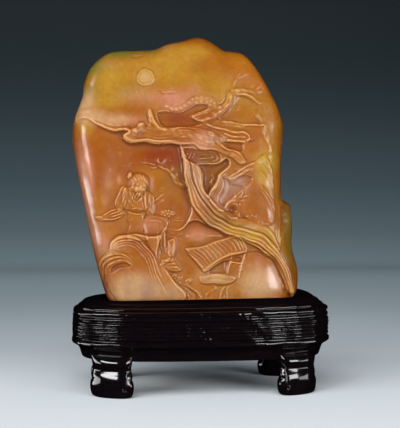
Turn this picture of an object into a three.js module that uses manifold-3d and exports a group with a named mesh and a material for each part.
// A soapstone boulder carved in relief with a landscape, standing in a carved hardwood stand.
// Millimetres, +Z up, the carved face towards -Y. The origin is on the ground, under the middle of the stand.
import * as THREE from "three";
import Module from "manifold-3d";

// Stone
const BASE_Z = 42.3; // the flat underside, sunk into the stand's socket
const FRONT_DEPTH = 21.5; // from the parting plane to the carved face, low down
const BACK_DEPTH = 21;
const TOP_SHARE = 0.62; // how much of that depth is left at the very top
const TAPER_FROM = 0.38; // the height share where the faces start to lean in
const SEAM = 1.2; // half the width of the plain band between the two faces
const ROUNDING = { left: 9, right: 12, top: 15 }; // how far in from the outline the face curves
const ROUND_POWER = 2.3;
const CELLS = { front: 128, back: 64 }; // the finest grid of each face, along each side
const STRAY = 0.8; // how far a face may lie off the true surface before it is split
const BUNCHING = 0.8; // how much finer the grid is at the sides than in the middle

// Stand
const PLAN = { x: 64, y: 38.5, power: 3, sides: 44 };
const APRON_Z = 17;
const RIM_Z = 45.1;
const SOCKET_FLOOR = 42;
const SOCKET_GAP = 0.6;
const RIM_SLOPE = { x: 0.01, y: 0.012, corner: 0.0018 }; // the hand-cut rim rises to the right and the back
const LEG = { x: 44.4, inset: 2, setback: 5.7, power: 3, sides: 16 };

const wasm = await Module();
wasm.setup();

const lerp = (a, b, t) => a + (b - a) * t;
const clamp = (v) => Math.min(1, Math.max(0, v));
const smooth = (v) => clamp(v) ** 2 * (3 - 2 * clamp(v));

// Outline of the stone as (x, z), split at the bottom and at the two shoulders.
const line = (points) => new THREE.SplineCurve(points.map(([x, z]) => new THREE.Vector2(x, z)));
const LEFT = line([
  [-44, BASE_Z], [-46.5, 45], [-49, 52], [-53, 67], [-58, 91], [-61.5, 109], [-63.5, 123],
  [-62.5, 132.5], [-58.8, 143.5], [-58, 149.5], [-55.5, 156.5], [-50.5, 162.5],
]);
const TOP = line([
  [-50.5, 162.5], [-45.5, 165.5], [-40, 166.6], [-31, 167], [-23, 167.7], [-17, 170.4], [-10, 172],
  [-1.5, 174], [5, 172], [11, 168], [15, 167.4], [20.5, 166.4], [25, 162.3], [29.5, 155.5],
]);
const RIGHT = line([
  [43, BASE_Z], [47.3, 46.5], [48.5, 52], [47.8, 61], [43.5, 72], [41, 84],
  [40.2, 96], [40.2, 112], [41.4, 126], [40.8, 133], [35, 146], [29.5, 155.5],
]);

// The spur of rock on the right flank, from its rounded top down to where it joins the foot.
const SPUR = { top: 93, foot: 62, reach: 4.6, y: -7, halfDepth: 10, crown: 3, fade: 6 };
const RELIEF_FADE = 5; // the relief dies out over this distance from the outline
const BACK_WAVE = 1.1; // soft swells of the plain back

// Where a curve that runs upwards passes a share of its own rise.
function byHeight(curve, steps = 240) {
  const points = curve.getPoints(steps);
  const low = points[0].y;
  const rise = points[steps].y - low;
  return (share) => {
    const z = low + rise * share;
    let i = points.findIndex((p) => p.y >= z);
    i = i < 1 ? (i < 0 ? steps : 1) : i;
    const t = (z - points[i - 1].y) / (points[i].y - points[i - 1].y);
    return points[i - 1].clone().lerp(points[i], clamp(t));
  };
}
const leftAt = byHeight(LEFT);
const rightAt = byHeight(RIGHT);
const topAt = (share) => TOP.getPointAt(share);

// The flat place of (u, v) in the outline: between the two sides, and lifted to the top edge's curve.
function outlinePoint(u, v) {
  const across = new THREE.Vector2().lerpVectors(leftAt(v), rightAt(v), u);
  const chord = new THREE.Vector2().lerpVectors(leftAt(1), rightAt(1), u);
  return across.addScaledVector(topAt(u).sub(chord), v);
}

// The relief is a list of layers. A move in a layer returns the height over the face, in mm towards the
// viewer, from the height so far and the ground that its layer stands on.
const layers = [];
const layer = (...shapes) => layers.push(shapes);

// Distance from (x, z) to a run of points, and how far along the nearest place is, from 0 to 1.
function nearest(points, x, z) {
  let best = Infinity;
  let along = 0;
  for (let i = 1; i < points.length; i++) {
    const a = points[i - 1];
    const dx = points[i].x - a.x;
    const dz = points[i].y - a.y;
    const t = clamp(((x - a.x) * dx + (z - a.y) * dz) / (dx * dx + dz * dz || 1));
    const d = Math.hypot(x - a.x - dx * t, z - a.y - dz * t);
    if (d < best) [best, along] = [d, (i - 1 + t) / (points.length - 1)];
  }
  return [best, along];
}

// Shapes of one layer stand side by side on its ground, so where they cross they don't pile up.
const beside = (height, level, rise) => (rise < 0 ? Math.min(height, level) : Math.max(height, level));

// A rounded cord along a curve: half width and height run from the first value to the last.
function stroke(points, [w0, w1], [h0, h1]) {
  const path = line(points).getPoints(points.length * 4);
  return (x, z, height, ground) => {
    const [d, s] = nearest(path, x, z);
    const q = d / lerp(w0, w1, s);
    const rise = lerp(h0, h1, s);
    return q >= 1 ? height : beside(height, ground + rise * (1 - q * q) ** 1.5, rise);
  };
}

// Cuts or raises an area to a level, which may vary, with a slope of a given width inside its edge.
function area(points, level, slope) {
  const path = line([...points, points[0]]).getPoints(points.length * 4);
  return (x, z, height) => {
    let inside = false;
    for (let i = 1; i < path.length; i++) {
      const [a, b] = [path[i - 1], path[i]];
      if (a.y > z !== b.y > z && x < a.x + ((z - a.y) / (b.y - a.y)) * (b.x - a.x)) inside = !inside;
    }
    if (!inside) return height;
    const target = typeof level === "function" ? level(x, z, height) : level;
    return lerp(height, target, smooth(nearest(path, x, z)[0] / slope));
  };
}

// A low dome: an ellipse with half sizes a and b, turned by an angle in degrees.
function dome([cx, cz], [a, b], rise, turn = 0) {
  const [c, s] = [Math.cos((turn * Math.PI) / 180), Math.sin((turn * Math.PI) / 180)];
  return (x, z, height, ground) => {
    const p = ((x - cx) * c + (z - cz) * s) / a;
    const q = ((z - cz) * c - (x - cx) * s) / b;
    const k = p * p + q * q;
    return k >= 1 ? height : beside(height, ground + rise * (1 - k) ** 0.6, rise);
  };
}

// Ground levels of the picture: a cave under the overhang, pockets, and the valley with the hut.
const cave = (x) => -4.6 * smooth((x + 58) / 30);
layer(
  area([[-56, 134], [-50, 128.5], [-38, 124], [-26, 119.5], [-8, 120], [-7, 108], [-9, 92], [-9, 80],
    [-24, 76], [-40, 77], [-54, 80], [-59, 100], [-61, 120]], cave, 4),
  area([[-23.5, 134], [-15, 135.5], [-8, 136.5], [-1, 140], [3.5, 136], [-2, 130.5], [-12, 128], [-21, 129]],
    -1.8, 3),
  area([[-7.5, 117], [5.5, 118], [14, 111], [10.5, 104], [5, 91], [-3, 97]], -4.6, 4),
  area([[6, 96], [14, 108], [27, 110], [31, 92], [32, 79], [24, 81], [10, 88]], -2.2, 5),
  area([[5, 134], [12, 138], [18, 143.5], [25, 141.5], [28.5, 134], [29.5, 116], [17, 112], [7, 119]],
    -1.6, 4),
  area([[-14, 80], [-6, 84], [3, 77], [13, 70], [33, 62], [37, 48], [10, 43], [-10, 44], [-19, 55],
    [-20, 68]], -2.6, 4),
);

// The overhanging ledge that turns into a lying pine trunk, its stub and the rock it ends in.
layer(
  stroke([[-57, 135.5], [-50, 130], [-40, 127], [-33, 123.5], [-20, 122.5], [-8, 124.5]],
    [2.4, 4.6], [0.6, 2.4]),
  stroke([[-36, 124], [-31, 128.5]], [3.2, 2.2], [2.6, 2]),
  stroke([[-26, 136], [-25, 132], [-22, 128], [-17, 126]], [1.8, 3.2], [1.2, 1.8]),
  dome([-0.5, 122], [10, 5.6], 2, -8),
  stroke([[2, 123], [8.5, 119.5], [15, 116], [20, 111.5]], [3.6, 2], [2, 1.4]),
);

// The scalloped cloud of needles and the forked bough above the ledge.
const scallops = [[-18, 136.5], [-14.5, 137.5], [-10.5, 138.8], [-6.5, 141.2], [-2.5, 143], [2, 142.5],
  [4.5, 139.5]];
layer(...scallops.map((at) => dome(at, [2.8, 2.3], 1.6)));
layer(
  stroke([[-7, 129.5], [0, 132.5], [7, 135.8], [11, 139.5], [14.5, 144.5]], [3, 2.7], [2.2, 2]),
  stroke([[14, 144], [21, 146], [29.5, 147]], [2.5, 1.8], [2, 1]),
  stroke([[17, 145.5], [24, 143.5], [28.5, 137.5]], [2, 1.6], [1.6, 0.9]),
  stroke([[14.5, 145.5], [16, 151.5], [21.5, 155.5]], [1.8, 1.4], [1.2, 0.6]),
);

// A hut high up at the right: three long eaves and a post.
layer(
  stroke([[-1, 130.5], [10.5, 127], [21, 122.8]], [1.7, 1.7], [1.6, 1.9]),
  stroke([[4.5, 133.5], [17, 129.8], [28, 128.5]], [1.5, 1.5], [1, 1]),
  stroke([[5, 125.8], [12.5, 123], [20, 119.8]], [1.6, 1.7], [1.3, 1.7]),
);

// Right side: the long ridge where the face turns, the hill below it and the crevice beside the spur.
layer(
  stroke([[29.5, 147], [31, 138], [32, 127], [33.3, 112], [34.8, 95], [35, 80]], [2.6, 3], [0.8, 1.3]),
  stroke([[11.5, 104], [19, 108], [29.5, 114]], [1.8, 3], [1.3, 2]),
  stroke([[29.5, 114], [31, 105], [32.5, 93], [33.5, 80]], [2, 1.6], [1, 0.8]),
  stroke([[24.5, 103], [29, 96], [33, 88]], [2, 1.6], [0.9, 0.8]),
  stroke([[40.4, 95], [39, 88], [38.5, 80], [37, 72]], [1.8, 1.7], [-4, -1.5]),
);

// The great leaning trunk in three strands, its bare boughs and the hollow knot at its foot.
layer(
  stroke([[-9, 118], [-8, 107], [-6, 97.5], [-2.5, 89], [3.5, 82], [12.5, 76.5], [24.5, 72], [33, 67.5],
    [38, 58], [39.5, 50]], [2.6, 3.6], [3.8, 2.4]),
  stroke([[-4.5, 108], [-1.5, 99], [4, 90.5], [14, 83], [25, 79.5], [33, 75.5]], [2.3, 3.2], [3, 2.6]),
  stroke([[4, 77], [12.5, 71.5], [21, 68.7], [29, 67], [35, 61], [39, 50]], [1.8, 2.2], [1.6, 1.4]),
  stroke([[-8.5, 99], [-13, 101], [-17.5, 107], [-22, 110.5], [-26, 112]], [2.2, 1.5], [2.8, 1.5]),
  stroke([[-20, 109.5], [-22.5, 114.5]], [1.5, 1.3], [1.6, 1.2]),
  stroke([[3, 90.5], [6.5, 98.5], [6.3, 104.5], [9, 109], [12.5, 113]], [2.2, 1.5], [3.2, 1.8]),
  stroke([[8, 87], [13, 92], [21, 95.7]], [1.9, 1.4], [2.2, 1.2]),
);
layer(dome([13, 87], [3, 2.3], -1.8, 10));

// Round rocks: the big polished one low at the right, a pillow of rock, and the arched ones at the left.
const leftRocks = [[-50, 44], [-50.5, 53], [-49, 62], [-45, 66.5], [-44, 71.5], [-39, 75.5], [-33, 75.5],
  [-26, 70], [-22, 62], [-18.5, 52], [-17, 43]];
layer(
  area([[-26, 99], [-19, 100.8], [-10.5, 98.5], [-8, 91], [-7, 82], [-12, 79.5], [-19, 79.5]], -3, 3),
  area(leftRocks, (x, z) => 0.8 + 0.05 * (z - 60), 2),
);
layer(
  dome([24, 54], [16, 15], 4, 20),
  dome([-3, 73.5], [8.5, 3.6], 1.6, 5),
  dome([-34, 50], [12, 11], 1.6),
  stroke([[-45, 66], [-43.7, 71.5], [-39, 74.7], [-33.5, 74.7], [-27, 70], [-23, 63], [-20, 54], [-18.5, 45]],
    [2.2, 2], [1.4, 1]),
  stroke([[-42, 66], [-39.5, 70.5], [-35.5, 71], [-30.5, 67.5], [-26.5, 61], [-24, 52]],
    [1.5, 1.5], [0.9, 0.6]),
  stroke([[-49, 45], [-50, 53], [-48.7, 61.5], [-45, 65.5], [-39.5, 66], [-34, 62.5]],
    [2.2, 1.8], [1.6, 1.1]),
  stroke([[-46.5, 51], [-45, 57.5], [-40.5, 61], [-34, 59]], [1.7, 1.5], [-1.2, -0.9]),
);

// The lower hut: a thatched roof with its furrows, its eave, the terrace and the banks of the stream.
const FURROWS = 6;
const furrow = (t) => {
  const [x, z] = [lerp(-6.5, 10, t), lerp(69, 75, t)];
  return stroke([[x, z], [x + 8.5, z - lerp(9, 6, t)]], [1, 1], [-0.8, -0.8]);
};
layer(
  area([[-9, 69], [8.5, 75.5], [20.5, 69.5], [-1, 58.8]], (x, z, height) => height + 1.8, 1.5),
  area([[-2.5, 57.5], [3.5, 58.8], [9, 57.3], [8, 54], [-1, 53.3]], (x, z, height) => height + 1.8, 1.3),
);
layer(
  ...Array.from({ length: FURROWS }, (_, i) => furrow((i + 1) / (FURROWS + 1))),
  stroke([[-2, 58.3], [6.5, 62.6], [19, 68.7]], [1.6, 1.6], [0.9, 0.9]),
  stroke([[19, 68.7], [17.3, 65], [15.5, 61.5], [15, 56]], [1.4, 1.2], [1.4, 1.1]),
  stroke([[10.5, 63.5], [9, 58]], [1.3, 1.3], [1.3, 1.3]),
  stroke([[-15.5, 56.5], [-9, 52], [-2.5, 45]], [2, 2.4], [1.4, 1.6]),
  stroke([[3.5, 53], [1.5, 45]], [1.7, 1.7], [1.2, 1.2]),
);

// The seated figure, looking down the valley: head, beard, chest, robe, sleeves, knee, shin and shoe.
layer(
  area([[-42, 92], [-40, 96.5], [-34, 98.5], [-28, 97], [-25, 92], [-25, 87], [-28, 85], [-29, 78], [-38, 77],
    [-38.5, 87]], (x, z, height) => height + 2.6, 3),
  dome([-33.5, 101.6], [5.6, 6], 4.4, 12),
  dome([-35.8, 106], [2.6, 2.4], 3.4),
  dome([-33, 95.5], [3, 4], 3.6),
  stroke([[-40.5, 95.5], [-43, 90], [-44, 86], [-48, 84.8], [-53, 83.6]], [3, 1.7], [3.2, 1.3]),
  stroke([[-28.5, 96], [-25.5, 91.5], [-27, 87]], [2.8, 2.5], [3.4, 3.2]),
  dome([-26, 82], [6.6, 5], 3.6, 15),
  stroke([[-21.5, 83.5], [-23.5, 75], [-25, 68], [-21, 62]], [4.2, 3.2], [3.4, 2.4]),
  stroke([[-18, 74.5], [-16.5, 69], [-17.5, 63]], [2, 1.9], [2.6, 2.2]),
  stroke([[-22, 62.8], [-16.5, 60.8], [-12.5, 59]], [2.6, 1.8], [2.6, 1.8]),
  stroke([[-24, 86.5], [-19.5, 87], [-15.5, 84.5]], [2, 1.6], [2, 1.4]),
);
layer(stroke([[-39, 87.4], [-33, 86.8], [-29, 87.4]], [1.4, 1.4], [-1, -1]));

// The full moon in its ring and a curl of cloud.
layer(
  dome([-28, 152.5], [6.4, 6.4], -0.8),
  dome([-28, 152.5], [4.8, 4.8], 1.1),
  stroke([[-20, 145.3], [-16.5, 144.2], [-12.8, 145.3]], [1.5, 1.4], [0.8, 0.6]),
);

const reliefHeight = (x, z) =>
  layers.reduce((ground, shapes) => shapes.reduce((height, shape) => shape(x, z, height, ground), ground), 0);

// Share of the full depth, at d mm in from an edge that is rounded over r mm.
function rounded(d, r) {
  const s = 1 - Math.min(1, Math.max(0, d) / r);
  return (1 - s ** ROUND_POWER) ** (1 / ROUND_POWER);
}

// How far the spur stands out of the right flank.
function spurReach(y, z) {
  const across = clamp(1 - ((y - SPUR.y) / SPUR.halfDepth) ** 2);
  const crown = Math.sqrt(clamp((SPUR.top - z) / SPUR.crown));
  return SPUR.reach * across * crown * smooth((1.4 * (z - SPUR.foot)) / (SPUR.top - SPUR.foot));
}

// A point of one face. The face is a cushion over the outline, and the front one carries the relief.
function stonePoint(u, v, front) {
  const place = outlinePoint(u, v);
  const toLeft = place.distanceTo(leftAt(v));
  const toRight = place.distanceTo(rightAt(v));
  const toTop = place.distanceTo(topAt(u));
  const share = lerp(1, TOP_SHARE, smooth((v - TAPER_FROM) / (1 - TAPER_FROM)));
  const sides = rounded(toLeft, ROUNDING.left) * rounded(toRight, ROUNDING.right);
  const cushion = sides * rounded(toTop, ROUNDING.top);
  const depth = (front ? FRONT_DEPTH : BACK_DEPTH) * share;
  const waves = BACK_WAVE * Math.sin(place.x / 13 + place.y / 21) * Math.sin(place.y / 17 - place.x / 40);
  const y = front ? -SEAM - (depth - SEAM) * cushion : SEAM + (depth - SEAM + waves) * cushion;
  const inland = smooth(Math.min(toLeft, toRight, toTop) / RELIEF_FADE);
  const relief = front ? reliefHeight(place.x, place.y) * inland : 0;
  const spur = spurReach(y, place.y) * smooth(1 - toRight / SPUR.fade);
  return new THREE.Vector3(place.x + spur, y - relief, place.y);
}

// Covers a square grid with right triangles that halve only where the surface strays from them.
function adaptiveFace(size, pointAt, turned) {
  const wide = size + 1;
  const bunch = (s) => s - (BUNCHING * Math.sin(2 * Math.PI * s)) / (2 * Math.PI);
  const points = Array.from({ length: wide * wide }, (_, i) =>
    pointAt(bunch((i % wide) / size), Math.floor(i / wide) / size));
  const at = (x, y) => y * wide + x;
  const halves = ([ax, ay, bx, by, cx, cy]) => {
    const [mx, my] = [(ax + bx) / 2, (ay + by) / 2];
    return [[cx, cy, ax, ay, mx, my], [bx, by, cx, cy, mx, my]];
  };
  const smallest = ([ax, ay, , , cx, cy]) => Math.abs(ax - cx) + Math.abs(ay - cy) <= 1;
  const roots = [[0, 0, size, size, size, 0], [size, size, 0, 0, 0, size]];
  const levels = [roots];
  while (!smallest(levels.at(-1)[0])) levels.push(levels.at(-1).flatMap(halves));
  levels.pop();
  const stray = new Float32Array(wide * wide);
  const middle = ([ax, ay, bx, by]) => at((ax + bx) / 2, (ay + by) / 2);
  for (const level of levels.reverse()) {
    for (const t of level) {
      const m = middle(t);
      const chord = points[at(t[0], t[1])].clone().add(points[at(t[2], t[3])]).multiplyScalar(0.5);
      let most = Math.max(stray[m], chord.distanceTo(points[m]));
      if (!smallest(halves(t)[0])) for (const h of halves(t)) most = Math.max(most, stray[middle(h)]);
      stray[m] = most;
    }
  }
  const triangles = [];
  const cover = (t) => {
    if (!smallest(t) && stray[middle(t)] > STRAY) return halves(t).forEach(cover);
    const [a, b, c] = [at(t[0], t[1]), at(t[2], t[3]), at(t[4], t[5])];
    triangles.push(turned ? [a, b, c] : [a, c, b]);
  };
  roots.forEach(cover);
  const used = new Set(triangles.flat());
  const sides = [(i) => at(i, 0), (i) => at(size, i), (i) => at(size - i, size), (i) => at(0, size - i)];
  const rim = sides.flatMap((cell) => Array.from({ length: size }, (_, i) => cell(i)));
  const border = rim.map((index, step) => ({ index, step })).filter(({ index }) => used.has(index));
  return { points, triangles, border };
}

function geometryOf(points, triangles) {
  const positions = points.flatMap((p) => [p.x, p.y, p.z]);
  const geometry = new THREE.BufferGeometry();
  geometry.setAttribute("position", new THREE.Float32BufferAttribute(positions, 3));
  geometry.setIndex(triangles.flat());
  geometry.computeVertexNormals();
  return geometry;
}

// The stone: two faces, and between their borders one band, which is also the flat underside.
function stoneGeometry() {
  const front = adaptiveFace(CELLS.front, (u, v) => stonePoint(u, v, true), false);
  const back = adaptiveFace(CELLS.back, (u, v) => stonePoint(u, v, false), true);
  const shift = front.points.length;
  const triangles = [...front.triangles, ...back.triangles.map((t) => t.map((i) => i + shift))];
  const along = (border, i, cells) => (i < border.length ? border[i].step / (4 * cells) : 1);
  let i = 0;
  let j = 0;
  while (i < front.border.length || j < back.border.length) {
    const f = front.border[i % front.border.length].index;
    const b = back.border[j % back.border.length].index + shift;
    const nextFront = i < front.border.length ? along(front.border, i + 1, CELLS.front) : Infinity;
    const nextBack = j < back.border.length ? along(back.border, j + 1, CELLS.back) : Infinity;
    if (nextFront <= nextBack) triangles.push([f, b, front.border[++i % front.border.length].index]);
    else triangles.push([f, b, back.border[++j % back.border.length].index + shift]);
  }
  const used = [...new Set(triangles.flat())];
  const renumber = new Map(used.map((old, fresh) => [old, fresh]));
  const all = [...front.points, ...back.points];
  return geometryOf(used.map((i) => all[i]), triangles.map((t) => t.map((i) => renumber.get(i))));
}

// A closed skin over level rings, from the lowest to the highest, with flat ends.
function loft(rings) {
  const sides = rings[0].length;
  const points = rings.flat();
  const triangles = [];
  const ring = (r, k) => r * sides + (k % sides);
  for (let r = 0; r + 1 < rings.length; r++) {
    for (let k = 0; k < sides; k++) {
      triangles.push([ring(r, k), ring(r, k + 1), ring(r + 1, k + 1)]);
      triangles.push([ring(r, k), ring(r + 1, k + 1), ring(r + 1, k)]);
    }
  }
  const centre = (list) => list.reduce((sum, p) => sum.add(p), new THREE.Vector3()).divideScalar(list.length);
  const [low, high] = [points.length, points.length + 1];
  points.push(centre(rings[0]), centre(rings.at(-1)));
  for (let k = 0; k < sides; k++) {
    triangles.push([low, ring(0, k + 1), ring(0, k)]);
    triangles.push([high, ring(rings.length - 1, k), ring(rings.length - 1, k + 1)]);
  }
  return geometryOf(points, triangles);
}

// A ring with the outline of a rounded oblong, and a place for each of its points.
function oblong(a, b, power, sides, place) {
  return Array.from({ length: sides }, (_, k) => {
    const angle = (2 * Math.PI * (k + 0.5)) / sides;
    const [c, s] = [Math.cos(angle), Math.sin(angle)];
    const bent = (w) => Math.sign(w) * Math.abs(w) ** (2 / power);
    return place(a * bent(c), b * bent(s));
  });
}

// The body's moulding as [height, inset from the widest line]: cove, bead, fret band, beads, cushion.
const MOULDING = [
  [APRON_Z, 5.3], [20, 4.3], [22.4, 3.1], [23.6, 0.5], [25.6, 0.1], [26.9, 1.7],
  [28, 0.6], [29.2, 0.6], [30, 1.6], [30.8, 0.5], [32, 0.5], [32.8, 1.6], [33.6, 0.5], [34.8, 0.7],
  [35.7, 1.9],
  [36.8, 0.7], [38, 1.8], [39, 0.8], [40.1, 2.8], [41.2, 3], [42.3, 4.4],
  [43.9, 5.9], [44.7, 8.2], [RIM_Z, 10.6],
];

function standBody() {
  const rings = MOULDING.map(([z, inset]) =>
    oblong(PLAN.x - inset, PLAN.y - inset, PLAN.power, PLAN.sides, (x, y) => {
      const corner = RIM_SLOPE.corner * Math.max(0, x) * Math.max(0, y);
      const slope = RIM_SLOPE.x * x + RIM_SLOPE.y * Math.max(0, y) + corner;
      return new THREE.Vector3(x, y, z + (slope * (z - APRON_Z)) / (RIM_Z - APRON_Z));
    }));
  return loft(rings);
}

// A leg follows the plan's outline. Its rings are [height, half width, half thickness, how far it swings
// out]: sole, rounded foot, narrow ankle, shoulder, and the root inside the body.
const LEG_RINGS = [
  [0, 7.9, 4.4, 0.2], [1.1, 9.6, 5.5, 0.2], [4.4, 10.3, 6, 0.3], [7.4, 9.7, 5.8, 0.2],
  [8.8, 9.4, 5.7, 0.2], [11.4, 9.3, 5.2, -0.1], [14, 9, 5.5, 0], [16.4, 9.4, 6, 0.3],
  [19.4, 10.6, 5.6, 0.2], [24, 11, 4.6, -1],
];

// How far the plan's outline, taken in by the leg's inset, lies from the middle at a distance x along it.
function legLine(x) {
  const share = (x / (PLAN.x - LEG.inset)) ** PLAN.power;
  return (PLAN.y - LEG.inset) * (1 - share) ** (1 / PLAN.power);
}

function standLeg(sideX, sideY) {
  const rings = LEG_RINGS.map(([z, wide, thick, swing]) =>
    oblong(wide, thick, LEG.power, LEG.sides, (t, r) => {
      const x = LEG.x + t;
      return new THREE.Vector3(sideX * x, sideY * (legLine(x) - LEG.setback + swing + r), z);
    }));
  return loft(sideX * sideY < 0 ? rings.map((ring) => ring.reverse()) : rings);
}

// The hole in the stand that takes the stone's foot, cut to its outline with an even gap.
function socketCutter() {
  const stations = 32;
  const top = (RIM_Z - BASE_Z + 3) / (TOP.points[0].y - BASE_Z);
  const widest = (u, front) => {
    const found = [0, 0.25, 0.5, 0.75, 1].map((t) => stonePoint(u, top * t, front));
    return found.reduce((a, b) => (Math.abs(b.y) > Math.abs(a.y) ? b : a));
  };
  const outline = [];
  for (let k = 0; k <= stations; k++) {
    const u = (1 - Math.cos((Math.PI * k) / stations)) / 2;
    const edge = stonePoint(u, top, true);
    outline[k] = new THREE.Vector2(edge.x, widest(u, true).y);
    outline[2 * stations + 1 - k] = new THREE.Vector2(edge.x, widest(u, false).y);
  }
  const grown = outline.map((p, k) => {
    const before = outline.at(k - 1);
    const after = outline[(k + 1) % outline.length];
    const along = after.clone().sub(before).normalize();
    return new THREE.Vector2(p.x + along.y * SOCKET_GAP, p.y - along.x * SOCKET_GAP);
  });
  return loft([SOCKET_FLOOR, RIM_Z + 4].map((z) => grown.map((p) => new THREE.Vector3(p.x, p.y, z))));
}

function solid(geometry) {
  const vertProperties = geometry.getAttribute("position").array;
  const triVerts = new Uint32Array(geometry.getIndex().array);
  return new wasm.Manifold(new wasm.Mesh({ numProp: 3, vertProperties, triVerts }));
}

function standGeometry() {
  let stand = solid(standBody());
  for (const sideX of [-1, 1]) for (const sideY of [-1, 1]) stand = stand.add(solid(standLeg(sideX, sideY)));
  const { vertProperties, triVerts } = stand.subtract(solid(socketCutter())).getMesh();
  const geometry = new THREE.BufferGeometry();
  geometry.setAttribute("position", new THREE.BufferAttribute(vertProperties, 3));
  geometry.setIndex(new THREE.BufferAttribute(triVerts, 1));
  geometry.computeVertexNormals();
  return geometry;
}

function piece(name, geometry, color, roughness) {
  const mesh = new THREE.Mesh(geometry, new THREE.MeshStandardMaterial({ color, roughness, metalness: 0 }));
  mesh.name = name;
  return mesh;
}

const carving = new THREE.Group();
carving.add(piece("stone_carving", stoneGeometry(), 0xd08a3c, 0.3));
carving.add(piece("wood_stand", standGeometry(), 0x120c0c, 0.2));
export default carving;
